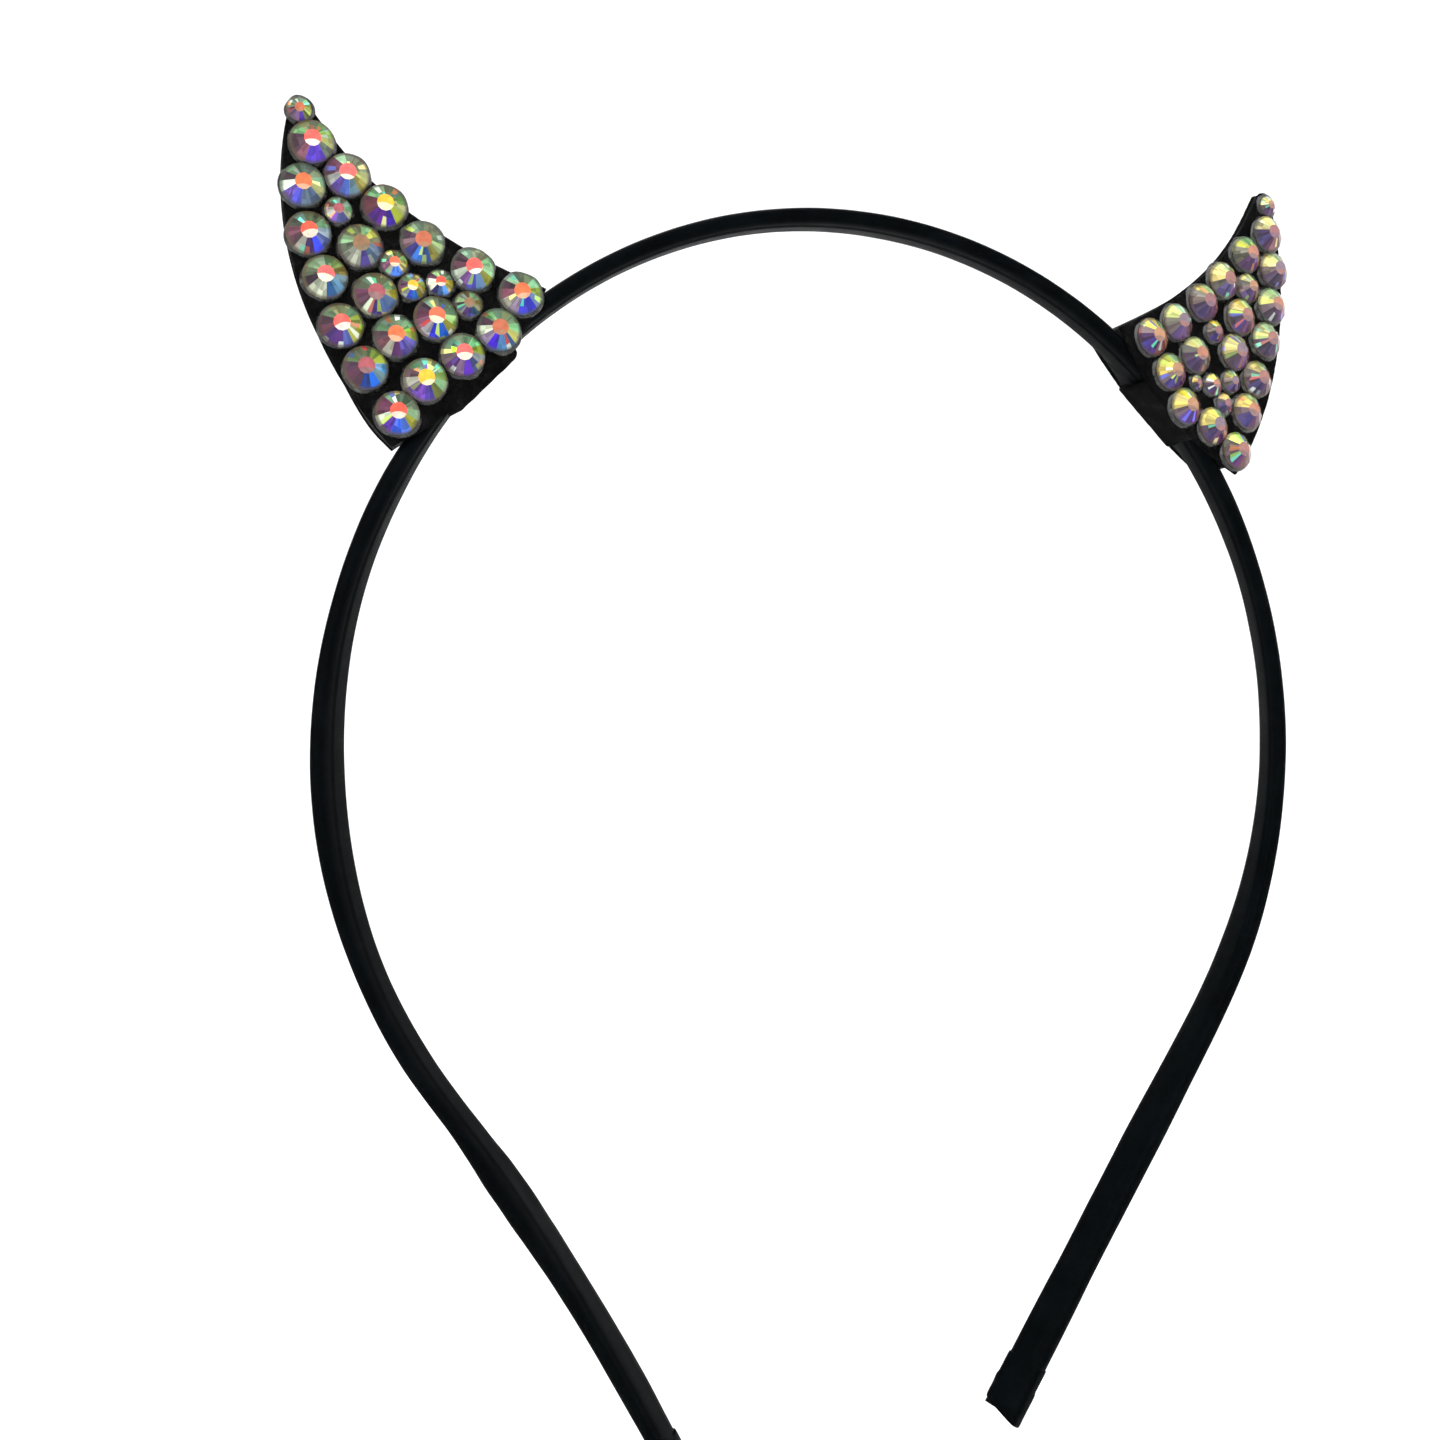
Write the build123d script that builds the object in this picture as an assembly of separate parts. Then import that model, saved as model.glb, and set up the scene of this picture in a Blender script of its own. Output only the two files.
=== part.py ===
"""Animal ears headband: a satin covered spring strip with two felt ears set with crystals.

Millimetres. +X is to the right as seen from the front, -Y is the front and +Z is up.
The origin is on the inner face of the band at its crown, where it rests on the head.
Left and right are as seen from the front.
"""
from build123d import *
import os
from math import cos, radians, sin

# Band
LEFT_LENGTH = 195.0
RIGHT_LENGTH = 193.6
BAND_WIDTH = 5.2
BAND_THICKNESS = 2.1
BAND_CORNER = 0.9
STRIP_WIDTH = 4.0
STRIP_THICKNESS = 1.0
STRIP_CORNER = 0.45
STRIP_INSET = 0.6
# Bend of each arm: crown radius, temple radius, where the bend ends, how it eases, radius of the tip's flare
LEFT_BEND = (61.0, 64.2, 132.0, 11.0, 320.0)
RIGHT_BEND = (63.2, 63.7, 125.5, 22.5, 3400.0)
# Degrees by which the section turns about the centreline, at even stations from left tip to right tip
BAND_TURNS = (44, 34, 40, 13, 0, -5, -15, 9, 23)
WALK_STEPS = 240
BAND_STATIONS = 49
FOLD_STATIONS = 5

# Ribbon folded over each tip
FOLD_LENGTH = 7.0
FOLD_THICKNESS = 0.3

# Ears: each sits a little turned from the band and a little above or below its outer face
EAR_STATION = 51.8
LEFT_EAR_TURN = 4.4
RIGHT_EAR_TURN = 3.3
LEFT_EAR_RISE = 0.0
RIGHT_EAR_RISE = 0.5
EAR_LEAN = 9.4
EAR_FRONT = 3.0
FELT = 0.6
FOAM = 0.6
FOOT_DEPTH = 5.8
FOOT_TOP = 1.5
SLOPE_TOP = 11.0
FRONT_CORNER = 12.3
BACK_CORNER = 11.2
TONGUE_WIDTH = 10.3
TONGUE_SHIFT = -0.3
TONGUE_DEPTH = 6.1
TONGUE_FORWARD = 0.2
TONGUE_GAP = 0.3
BACK_REACH = 0.5
BELOW_BAND = 6.0
EAR_TOP = 40.0
EAR_REACH = 20.0
EAR_BLANK = 12.0

# Crystals, as parts of the diameter
FACETS = 12
GIRDLE = 0.09
CROWN = 0.35
TABLE = 0.37
LARGE = 4.8
MEDIUM = 3.8
SMALL = 3.0
TINY = 2.0
FACET_SPIN = 47.0

# Centre of each crystal across and up its ear, with its diameter
LEFT_CRYSTALS = (
    (-6.6, 31.7, 2.8), (-5.0, 28.3, LARGE), (-0.9, 25.6, LARGE), (-5.2, 23.3, LARGE), (-1.8, 21.2, SMALL),
    (-5.8, 18.3, LARGE), (2.4, 21.5, LARGE), (-0.7, 16.9, LARGE), (-2.1, 13.2, SMALL), (-6.0, 12.8, LARGE),
    (-8.0, 7.1, LARGE), (-10.0, 1.7, LARGE), (4.5, 17.0, LARGE), (1.9, 12.1, LARGE), (-1.7, 10.1, SMALL),
    (-4.3, 8.4, SMALL), (-4.9, 4.7, SMALL), (-1.1, 6.0, LARGE), (-5.3, 0.5, LARGE), (7.0, 12.2, LARGE),
    (3.6, 7.5, LARGE), (-0.4, 1.2, LARGE), (8.4, 7.2, LARGE), (4.6, 2.0, LARGE), (9.4, 1.5, LARGE),
)
RIGHT_CRYSTALS = (
    (-6.2, 31.7, 2.8), (-3.9, 28.5, LARGE), (-4.7, 23.4, LARGE), (-0.2, 25.4, LARGE), (-5.2, 17.6, LARGE),
    (-1.7, 20.2, MEDIUM), (-5.7, 12.7, LARGE), (2.5, 21.3, LARGE), (-7.0, 7.3, LARGE), (-0.2, 16.0, LARGE),
    (-8.6, 2.7, LARGE), (-2.0, 11.2, SMALL), (-2.3, 6.2, LARGE), (2.0, 11.6, LARGE), (4.7, 16.9, LARGE),
    (-3.8, 1.4, LARGE), (0.1, 3.7, TINY), (2.1, 5.4, SMALL), (4.0, 8.1, SMALL), (6.8, 11.6, LARGE),
    (0.7, -0.3, LARGE), (5.0, 4.9, 2.8), (8.3, 6.9, LARGE), (5.4, 1.1, LARGE), (10.2, 1.5, LARGE),
)


def curvature(place):
    """Bend of the band at a distance from the crown: round over the head, then eased to the tip."""
    crown, temple, bend_end, ease_length, flare = RIGHT_BEND if place > 0 else LEFT_BEND
    ease = min(max((abs(place) - bend_end) / ease_length, 0), 1)
    ease = ease * ease * (3 - 2 * ease)
    bend = 1 / crown + (1 / temple - 1 / crown) * abs(place) / bend_end
    return bend * (1 - ease) - ease / flare


def centreline(place):
    """Across, height and heading of the centreline, walked from the crown along the curvature."""
    side = 1 if place >= 0 else -1
    step = abs(place) / WALK_STEPS
    across = height = heading = 0.0
    for index in range(WALK_STEPS):
        turn = curvature(side * (index + 0.5) * step) * step
        across += cos(heading + turn / 2) * step
        height -= sin(heading + turn / 2) * step
        heading += turn
    return side * across, height, side * heading


def band_turn(place):
    """Smooth turn of the section about the centreline, through BAND_TURNS."""
    length = RIGHT_LENGTH if place > 0 else LEFT_LENGTH
    reach = min(max(place / length, -1), 1)
    station = (reach + 1) / 2 * (len(BAND_TURNS) - 1)
    index = min(int(station), len(BAND_TURNS) - 2)
    part = station - index
    before = BAND_TURNS[max(index - 1, 0)]
    start = BAND_TURNS[index]
    end = BAND_TURNS[index + 1]
    after = BAND_TURNS[min(index + 2, len(BAND_TURNS) - 1)]
    slope_in = (end - before) / 2
    slope_out = (after - start) / 2
    rise = end - start
    return start + part * (slope_in + part * (3 * rise - 2 * slope_in - slope_out
                                              + part * (slope_in + slope_out - 2 * rise)))


def band_plane(place):
    """Plane across the band: X out of the head, Y to the front edge, Z along the band to the right."""
    across, height, heading = centreline(place)
    turn = radians(band_turn(place))
    outward = (sin(heading) * cos(turn), sin(turn), cos(heading) * cos(turn))
    along = (cos(heading), 0, -sin(heading))
    return Plane((across, 0, height + BAND_THICKNESS / 2), x_dir=outward, z_dir=along)


def along_band(section, start, end, count):
    """Solid through a section repeated at even places along the band."""
    places = [start + (end - start) * index / (count - 1) for index in range(count)]
    return loft([band_plane(place) * section for place in places])


def strip_solid():
    """Flat spring strip that gives the band its grip."""
    section = RectangleRounded(STRIP_THICKNESS, STRIP_WIDTH, STRIP_CORNER)
    return along_band(section, STRIP_INSET - LEFT_LENGTH, RIGHT_LENGTH - STRIP_INSET, BAND_STATIONS)


def band_envelope():
    """Outer shape of the covered band."""
    section = RectangleRounded(BAND_THICKNESS, BAND_WIDTH, BAND_CORNER)
    return along_band(section, -LEFT_LENGTH, RIGHT_LENGTH, BAND_STATIONS)


def tip_fold(side, band):
    """Ribbon folded over one tip of the band, closed at its end."""
    grow = 2 * FOLD_THICKNESS
    section = RectangleRounded(BAND_THICKNESS + grow, BAND_WIDTH + grow, BAND_CORNER + FOLD_THICKNESS)
    length = RIGHT_LENGTH if side > 0 else LEFT_LENGTH
    inner = side * (length - FOLD_LENGTH)
    outer = side * (length + FOLD_THICKNESS)
    return along_band(section, min(inner, outer), max(inner, outer), FOLD_STATIONS) - band


def ear_seat(side):
    """Across, height and heading of an ear's seat on the centreline, as if it were on the right."""
    across, height, heading = centreline(side * EAR_STATION)
    ear_turn = RIGHT_EAR_TURN if side > 0 else LEFT_EAR_TURN
    return abs(across), height + BAND_THICKNESS / 2, abs(heading), abs(heading) - radians(ear_turn)


def ear_plane(side):
    """Front face of an ear: X away from the crown along its base, Y to its tip, Z forward."""
    across, height, band_heading, heading = ear_seat(side)
    rise = BAND_THICKNESS / 2 - (RIGHT_EAR_RISE if side > 0 else LEFT_EAR_RISE)
    base = (across + sin(band_heading) * rise, -EAR_FRONT, height + cos(band_heading) * rise)
    lean = radians(EAR_LEAN)
    along = (cos(heading), 0, -sin(heading))
    forward = (sin(lean) * sin(heading), -cos(lean), sin(lean) * cos(heading))
    return Plane(base, x_dir=along, z_dir=forward)


def under_plane(side):
    """Upright plane through the centreline at an ear's seat: X along the ear's base, Y out of the head."""
    across, height, _, heading = ear_seat(side)
    return Plane((across, 0, height), x_dir=(cos(heading), 0, -sin(heading)), z_dir=(0, -1, 0))


def placed(side, shape):
    """A right hand shape kept on the right, or mirrored to the left."""
    return shape if side > 0 else mirror(shape, about=Plane.YZ)


def ear_outline(corner):
    """Curved horn of an ear: full outer edge, hollow inner edge, foot along the band."""
    outer = ThreePointArc((corner, -0.6), (6.95, 18.4), (-6.3, 32.9))
    tip = ThreePointArc((-6.3, 32.9), (-7.4, 33.4), (-8.0, 32.4))
    inner = Spline((-8.0, 32.4), (-6.95, 24.0), (-8.1, 13.5), (-10.4, 6.0), (-12.8, 0.2))
    foot = ThreePointArc((-12.8, 0.2), (0.0, -2.6), (corner, -0.6))
    return make_face([outer, tip, inner, foot])


def flat_face(depth, reach):
    """Side view of a flat layer face at a depth behind the ear's front, drawn downwards."""
    return [Line((-depth, EAR_TOP), (-depth, -reach))]


def stepped_face(above, at_foot, reach):
    """Side view of a layer face that steps back at the ear's foot to pass behind the band."""
    upper = Line((-above, EAR_TOP), (-above, SLOPE_TOP))
    ramp = Spline((-above, SLOPE_TOP), (-at_foot, FOOT_TOP), tangents=((0, -1), (0, -1)))
    lower = Line((-at_foot, FOOT_TOP), (-at_foot, -reach))
    return [upper, ramp, lower]


def ear_layer(corner, front, back):
    """Solid between two faces given in side view, cut to an outline with the given foot corner."""
    top = Line(front[0] @ 0, back[0] @ 0)
    bottom = Line(front[-1] @ 1, back[-1] @ 1)
    across_ear = Plane((EAR_REACH, 0, 0), x_dir=(0, 0, 1), z_dir=(-1, 0, 0))
    slab = extrude(across_ear * make_face([*front, *back, top, bottom]), 2 * EAR_REACH)
    body = extrude(Plane((0, 0, -EAR_BLANK)) * ear_outline(corner), EAR_BLANK)
    return body & slab


def tongue(side):
    """Tongue of the front felt: it runs down past the band and folds straight under the inner face."""
    bottom = BAND_THICKNESS / 2 + TONGUE_GAP + FELT
    rise = RIGHT_EAR_RISE if side > 0 else LEFT_EAR_RISE
    drop = bottom + BAND_THICKNESS / 2 - rise
    down = Pos(TONGUE_SHIFT, -drop / 2, -FELT / 2) * Box(TONGUE_WIDTH, drop, FELT)
    under = Pos(TONGUE_SHIFT, FELT / 2 - bottom, TONGUE_FORWARD) * Box(TONGUE_WIDTH, FELT, TONGUE_DEPTH)
    return ear_plane(side) * down + under_plane(side) * under


def crystal(diameter):
    """Flat backed faceted crystal: round girdle, sloping facets and a flat table."""
    apothem_slope = (1 - TABLE) / 2 / (CROWN - GIRDLE)
    lower = diameter * (0.5 + GIRDLE * apothem_slope)
    upper = diameter * TABLE / 2
    height = diameter * CROWN
    pyramid = loft([
        RegularPolygon(lower, FACETS, major_radius=False),
        Pos(0, 0, height) * RegularPolygon(upper, FACETS, major_radius=False),
    ], ruled=True)
    blank = Cylinder(diameter / 2, height, align=(Align.CENTER, Align.CENTER, Align.MIN))
    return pyramid & blank


def build_ear(side, name, crystals, band):
    """Felt, foam and crystals of one ear, as named solids."""
    plane = ear_plane(side)
    foam_depth = FELT + FOAM
    reach = BACK_REACH - (RIGHT_EAR_RISE if side > 0 else LEFT_EAR_RISE)
    front = ear_layer(FRONT_CORNER, flat_face(0, BELOW_BAND), flat_face(FELT, BELOW_BAND))
    foam = ear_layer(BACK_CORNER, flat_face(FELT, reach), stepped_face(foam_depth, FOOT_DEPTH, reach))
    back = ear_layer(BACK_CORNER, stepped_face(foam_depth, FOOT_DEPTH, reach),
                     stepped_face(foam_depth + FELT, FOOT_DEPTH + FELT, reach))
    front_felt = placed(side, plane * front + tongue(side)) - band
    pieces = {
        name + "_ear_front_felt": front_felt,
        name + "_ear_foam": placed(side, plane * foam) - band - front_felt,
        name + "_ear_back_felt": placed(side, plane * back) - band - front_felt,
    }
    for number, (across, up, diameter) in enumerate(crystals, start=1):
        stone = Pos(across, up, 0) * Rot(0, 0, number * FACET_SPIN) * crystal(diameter)
        pieces[f"{name}_crystal_{number:02d}"] = placed(side, plane * stone)
    return pieces


def build_headband():
    """Every piece of the headband by name."""
    band = band_envelope()
    strip = strip_solid()
    pieces = {
        "spring_strip": strip,
        "satin_cover": band - strip,
        "left_tip_fold": tip_fold(-1, band),
        "right_tip_fold": tip_fold(1, band),
    }
    pieces.update(build_ear(-1, "left", LEFT_CRYSTALS, band))
    pieces.update(build_ear(1, "right", RIGHT_CRYSTALS, band))
    return pieces


os.makedirs("parts", exist_ok=True)
for node, solid in build_headband().items():
    export_step(solid, f"parts/{node}.step")
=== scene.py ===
"""Looks of the animal ears headband: satin covered band, felt ears and rainbow coated crystals."""

import math
import random

import bpy
import numpy as np
from mathutils import Matrix, Vector


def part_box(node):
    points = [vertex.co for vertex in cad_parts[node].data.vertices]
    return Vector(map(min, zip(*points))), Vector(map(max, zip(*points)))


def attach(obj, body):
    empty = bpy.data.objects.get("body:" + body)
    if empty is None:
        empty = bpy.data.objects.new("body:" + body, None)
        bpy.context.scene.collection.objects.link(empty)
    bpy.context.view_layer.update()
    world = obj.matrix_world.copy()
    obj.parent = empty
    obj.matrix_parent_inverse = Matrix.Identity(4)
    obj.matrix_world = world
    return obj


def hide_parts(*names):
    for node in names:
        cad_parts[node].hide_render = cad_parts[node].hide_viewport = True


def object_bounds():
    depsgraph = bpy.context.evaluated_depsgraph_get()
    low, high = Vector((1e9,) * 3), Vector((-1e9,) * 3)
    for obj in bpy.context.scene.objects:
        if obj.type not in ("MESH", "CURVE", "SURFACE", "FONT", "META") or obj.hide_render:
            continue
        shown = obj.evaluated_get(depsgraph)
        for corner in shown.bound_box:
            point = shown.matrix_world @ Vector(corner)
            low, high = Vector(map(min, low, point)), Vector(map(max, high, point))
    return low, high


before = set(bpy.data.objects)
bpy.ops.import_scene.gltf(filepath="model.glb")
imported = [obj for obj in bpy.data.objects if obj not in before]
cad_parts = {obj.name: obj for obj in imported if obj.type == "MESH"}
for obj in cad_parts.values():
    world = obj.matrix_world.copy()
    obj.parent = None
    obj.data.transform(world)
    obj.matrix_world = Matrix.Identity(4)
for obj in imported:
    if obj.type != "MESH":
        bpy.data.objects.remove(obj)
cad_box = [list(corner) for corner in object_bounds()]

MM = 0.001
SIDES = (("left", -1), ("right", 1))

# Band, as in the CAD model, in millimetres
LEFT_LENGTH = 195.0
RIGHT_LENGTH = 193.6
BAND_WIDTH = 5.2
BAND_THICKNESS = 2.1
# Crown radius, temple radius, where the bend ends, how it eases, radius of the tip's flare
LEFT_BEND = (61.0, 64.2, 132.0, 11.0, 320.0)
RIGHT_BEND = (63.2, 63.7, 125.5, 22.5, 3400.0)
# Degrees by which the section turns about the centreline, at even stations from left tip to right tip
BAND_TURNS = (44, 34, 40, 13, 0, -5, -15, 9, 23)
WALK_STEP = 0.1

# Ears, as in the CAD model, in millimetres
EAR_STATION = 51.8
EAR_TURNS = {-1: 4.4, 1: 3.3}
EAR_RISES = {-1: 0.0, 1: 0.5}
EAR_LEAN = 9.4
EAR_FRONT = 3.0
FELT = 0.6
FOAM = 0.6
FOOT_DEPTH = 5.8
FOOT_TOP = 1.5
SLOPE_TOP = 11.0
FRONT_CORNER = 12.3
BACK_CORNER = 11.2
TONGUE_WIDTH = 10.3
TONGUE_SHIFT = -0.3
TONGUE_DEPTH = 6.1
TONGUE_FORWARD = 0.2
TONGUE_GAP = 0.3
BACK_REACH = 0.5

# Outline of an ear: across and up its front face, from foot to tip
CORNER_HEIGHT = -0.6
OUTER_BOW = (6.95, 18.4)
OUTER_TOP = (-6.3, 32.9)
INNER_KNOTS = ((-12.8, 0.2), (-10.4, 6.0), (-8.1, 13.5), (-6.95, 24.0), (-8.0, 32.4))
EAR_HEIGHT = 33.0
FOOT_BOW = 2.25
TIP_BOW = 0.55

# Crystals, as in the CAD model
CRYSTALS_PER_EAR = 25
FACETS = 12
FACET_SPIN = 47.0


# ---------------------------------------------------------------- shape of the band, and mesh helpers
def smooth(low, high, value):
    """Smooth step from 0 at low to 1 at high."""
    part = np.clip((value - low) / (high - low), 0, 1)
    return part * part * (3 - 2 * part)


def quarter_round(distance, radius):
    """Fall of a rounded edge: 1 on the edge, and 0 from the radius inwards."""
    return 1 - np.sqrt(1 - (1 - np.clip(distance / radius, 0, 1)) ** 2)


def curvature(place, bend):
    """Bend of an arm at a distance from the crown."""
    crown, temple, bend_end, ease_length, flare = bend
    ease = smooth(bend_end, bend_end + ease_length, place)
    return (1 / crown + (1 / temple - 1 / crown) * place / bend_end) * (1 - ease) - ease / flare


walk = np.arange(0, LEFT_LENGTH + 3, WALK_STEP)


def walked(bend):
    """Heading, across and height along an arm of the band."""
    heading = np.concatenate([[0], np.cumsum(curvature(walk[:-1] + WALK_STEP / 2, bend) * WALK_STEP)])
    middle = (heading[1:] + heading[:-1]) / 2
    across = np.concatenate([[0], np.cumsum(np.cos(middle) * WALK_STEP)])
    height = -np.concatenate([[0], np.cumsum(np.sin(middle) * WALK_STEP)])
    return heading, across, height


ARMS = {-1: walked(LEFT_BEND), 1: walked(RIGHT_BEND)}


def arm_values(places):
    """Heading, across and height at distances from the crown, positive to the right."""
    values = []
    for index, signed in enumerate((True, True, False)):
        left, right = (np.interp(abs(places), walk, ARMS[side][index]) for side in (-1, 1))
        values.append(np.where(places >= 0, right, -left if signed else left))
    return values


def band_frames(places):
    """Centre, outward, forward and along vectors of the band at distances from the crown."""
    places = np.atleast_1d(np.asarray(places, float))
    heading, across, height = arm_values(places)
    turn = np.radians([band_turn(place) for place in places])
    zero = np.zeros_like(places)
    centre = np.stack([across, zero, height + BAND_THICKNESS / 2], 1)
    outward = np.stack([np.sin(heading) * np.cos(turn), np.sin(turn), np.cos(heading) * np.cos(turn)], 1)
    along = np.stack([np.cos(heading), zero, -np.sin(heading)], 1)
    return centre, outward, np.cross(along, outward), along


def band_turn(place):
    """Turn of the band's section about its centreline, in degrees."""
    reach = min(max(place / (RIGHT_LENGTH if place > 0 else LEFT_LENGTH), -1), 1)
    station = (reach + 1) / 2 * (len(BAND_TURNS) - 1)
    index = min(int(station), len(BAND_TURNS) - 2)
    part = station - index
    before = BAND_TURNS[max(index - 1, 0)]
    start, end = BAND_TURNS[index:index + 2]
    after = BAND_TURNS[min(index + 2, len(BAND_TURNS) - 1)]
    slope_in, slope_out, rise = (end - before) / 2, (after - start) / 2, end - start
    return start + part * (slope_in + part * (3 * rise - 2 * slope_in - slope_out
                                              + part * (slope_in + slope_out - 2 * rise)))


def section_points(width, thickness, count, power=3.2):
    """Rounded section: outward and forward values, evenly spaced round it, and the distance run."""
    half_degrees = 721
    angle = np.linspace(0, 2 * math.pi, half_degrees)
    cosine, sine = np.cos(angle), np.sin(angle)
    out = np.sign(cosine) * abs(cosine) ** (2 / power) * thickness / 2
    forward = np.sign(sine) * abs(sine) ** (2 / power) * width / 2
    run = np.concatenate([[0], np.cumsum(np.hypot(np.diff(out), np.diff(forward)))])
    even = np.linspace(0, run[-1], count, endpoint=False)
    return np.interp(even, run, out), np.interp(even, run, forward), even


def noise(points, scale, seed):
    """Smooth repeatable noise of points, from sums of sines, roughly -1 to 1."""
    draw = np.random.default_rng(seed)
    total = np.zeros(len(points))
    waves = 7
    for _ in range(waves):
        wave = draw.normal(size=points.shape[1])
        wave *= draw.uniform(0.6, 1.6) * 2 * math.pi / scale / np.linalg.norm(wave)
        total += np.sin(points @ wave + draw.uniform(0, 2 * math.pi))
    return total / (waves / 2)


def new_object(name, points_mm, faces, material):
    """Smooth shaded mesh object from points in millimetres."""
    mesh = bpy.data.meshes.new(name)
    mesh.from_pydata([tuple(point) for point in np.asarray(points_mm) * MM], [], faces)
    mesh.validate()
    mesh.materials.append(material)
    mesh.polygons.foreach_set("use_smooth", [True] * len(mesh.polygons))
    obj = bpy.data.objects.new(name, mesh)
    bpy.context.scene.collection.objects.link(obj)
    return obj


def store_ribbon_place(obj, along, around):
    """Keeps each vertex's place on the flat ribbon, in millimetres, for the satin to read."""
    layer = obj.data.attributes.new("ribbon", "FLOAT_VECTOR", "POINT")
    place = np.stack([along, around, np.zeros(len(along))], 1)
    layer.data.foreach_set("vector", place.astype(np.float32).ravel())


def grid_faces(rows, columns, closed=True, looped=False, start=0, flip=False):
    """Quads of a grid of points, closed round its columns, and looped from last row to first when asked."""
    faces = []
    for row in range(rows if looped else rows - 1):
        this_row, next_row = start + row * columns, start + (row + 1) % rows * columns
        for column in range(columns if closed else columns - 1):
            beside = (column + 1) % columns
            quad = [this_row + column, this_row + beside, next_row + beside, next_row + column]
            faces.append(quad[::-1] if flip else quad)
    return faces


# ---------------------------------------------------------------- node helpers
def new_material(name):
    """Material with a Principled shader, and helpers that add a node, a bump, and colour with roughness."""
    material = bpy.data.materials.new(name)
    material.use_nodes = True
    tree = material.node_tree
    tree.nodes.clear()
    output = tree.nodes.new("ShaderNodeOutputMaterial")
    shader = tree.nodes.new("ShaderNodeBsdfPrincipled")
    tree.links.new(shader.outputs[0], output.inputs[0])

    def node(kind, settings=(), **inputs):
        made = tree.nodes.new("ShaderNode" + kind)
        for key, value in dict(settings).items():
            setattr(made, key, value)
        for key, value in inputs.items():
            slot = made.inputs[int(key[1:]) if key[1:].isdigit() else key.replace("_", " ")]
            if isinstance(value, bpy.types.NodeSocket):
                tree.links.new(value, slot)
            else:
                slot.default_value = value
        return made

    def bump(height, strength, distance):
        made = node("Bump", Strength=strength, Distance=distance, Height=height)
        tree.links.new(made.outputs[0], shader.inputs["Normal"])

    def surface(colour, roughness):
        tree.links.new(colour, shader.inputs["Base Color"])
        tree.links.new(roughness, shader.inputs["Roughness"])

    return material, shader, node, bump, surface


def linear_stops(*stops):
    """Stops of a colour ramp, from (place, red, green, blue) in linear values."""
    return [(place, (red, green, blue, 1)) for place, red, green, blue in stops]


def linear(red, green, blue):
    """Linear colour of an sRGB colour given from 0 to 255."""
    values = np.array([red, green, blue]) / 255
    return tuple(np.where(values <= 0.04045, values / 12.92, ((values + 0.055) / 1.055) ** 2.4)) + (1.0,)


def ramp(node, factor, stops, interpolation="LINEAR"):
    """Colour ramp with the given (place, colour) stops."""
    made = node("ValToRGB", i0=factor)
    made.color_ramp.interpolation = interpolation
    elements = made.color_ramp.elements
    while len(elements) < len(stops):
        elements.new(0.5)
    for element, (place, colour) in zip(elements, stops):
        element.position = place
        element.color = colour
    return made.outputs[0]


def math_node(node, operation, first, second=0.0, third=0.0):
    """Output of a Math node."""
    return node("Math", {"operation": operation}, i0=first, i1=second, i2=third).outputs[0]


def mix_colour(node, factor, first, second):
    """Mix of two colours: the first at factor 0, the second at factor 1."""
    return node("Mix", {"data_type": "RGBA"}, i0=factor, i6=first, i7=second).outputs[2]


def scaled(node, colour, factor):
    """Colour multiplied by a factor."""
    return node("VectorMath", {"operation": "SCALE"}, i0=colour, Scale=factor).outputs[0]


def along_axis(node, vector, axis):
    """Length of a vector along an axis."""
    return node("VectorMath", {"operation": "DOT_PRODUCT"}, i0=vector, i1=tuple(axis)).outputs["Value"]


def off_axis(node, across, up):
    """Distance from an axis, given the two values across it."""
    flat = node("CombineXYZ", i0=across, i1=up).outputs[0]
    return node("VectorMath", {"operation": "LENGTH"}, i0=flat).outputs["Value"]


def turn_of(node, across, up):
    """Direction round an axis, in whole turns."""
    return math_node(node, "DIVIDE", math_node(node, "ARCTAN2", up, across), 2 * math.pi)


def facet_random(node, facing, steps):
    """A random value for each facet, from the direction that it faces."""
    snapped = node("VectorMath", {"operation": "SNAP"}, i0=facing, i1=steps).outputs[0]
    return node("TexWhiteNoise", i0=snapped).outputs[0]


# ---------------------------------------------------------------- materials
def satin_material():
    """Black satin ribbon: fine lengthwise threads, soft sheen, slight variation."""
    material, shader, node, bump, surface = new_material("black_satin")
    place = node("Attribute", {"attribute_name": "ribbon"}).outputs["Vector"]
    threads = node("Mapping", i0=place, Scale=(0.9, 9.0, 1.0)).outputs[0]
    thread = node("TexNoise", i0=threads, Scale=2.2, Detail=3.0, Roughness=0.6).outputs[0]
    weave = node("TexWave", {"wave_type": "BANDS", "bands_direction": "Y"}, i0=place, Scale=1.6,
                 Distortion=1.2, Detail=2.0, Detail_Scale=3.0).outputs["Fac"]
    cross = node("TexWave", {"wave_type": "BANDS", "bands_direction": "X"}, i0=place, Scale=1.15,
                 Distortion=0.8, Detail=1.0, Detail_Scale=2.0).outputs["Fac"]
    patch = node("TexNoise", i0=place, Scale=0.16, Detail=3.0, Roughness=0.55).outputs[0]
    height = math_node(node, "MULTIPLY_ADD", thread, 0.6, math_node(node, "MULTIPLY", weave, 0.5))
    bump(math_node(node, "MULTIPLY_ADD", cross, 0.25, height), strength=0.35, distance=0.00006)
    variation = math_node(node, "MULTIPLY_ADD", thread, 0.45, math_node(node, "MULTIPLY", patch, 0.55))
    tint = ramp(node, variation, linear_stops(
        (0.3, 0.0003, 0.0006, 0.0008), (0.52, 0.0007, 0.0013, 0.0017), (0.75, 0.0022, 0.0031, 0.0038)))
    surface(tint, math_node(node, "MULTIPLY_ADD", patch, 0.22, 0.28))
    shader.inputs["Specular IOR Level"].default_value = 0.012
    shader.inputs["Sheen Weight"].default_value = 0.003
    shader.inputs["Sheen Roughness"].default_value = 0.35
    shader.inputs["Anisotropic"].default_value = 0.45
    return material


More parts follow.
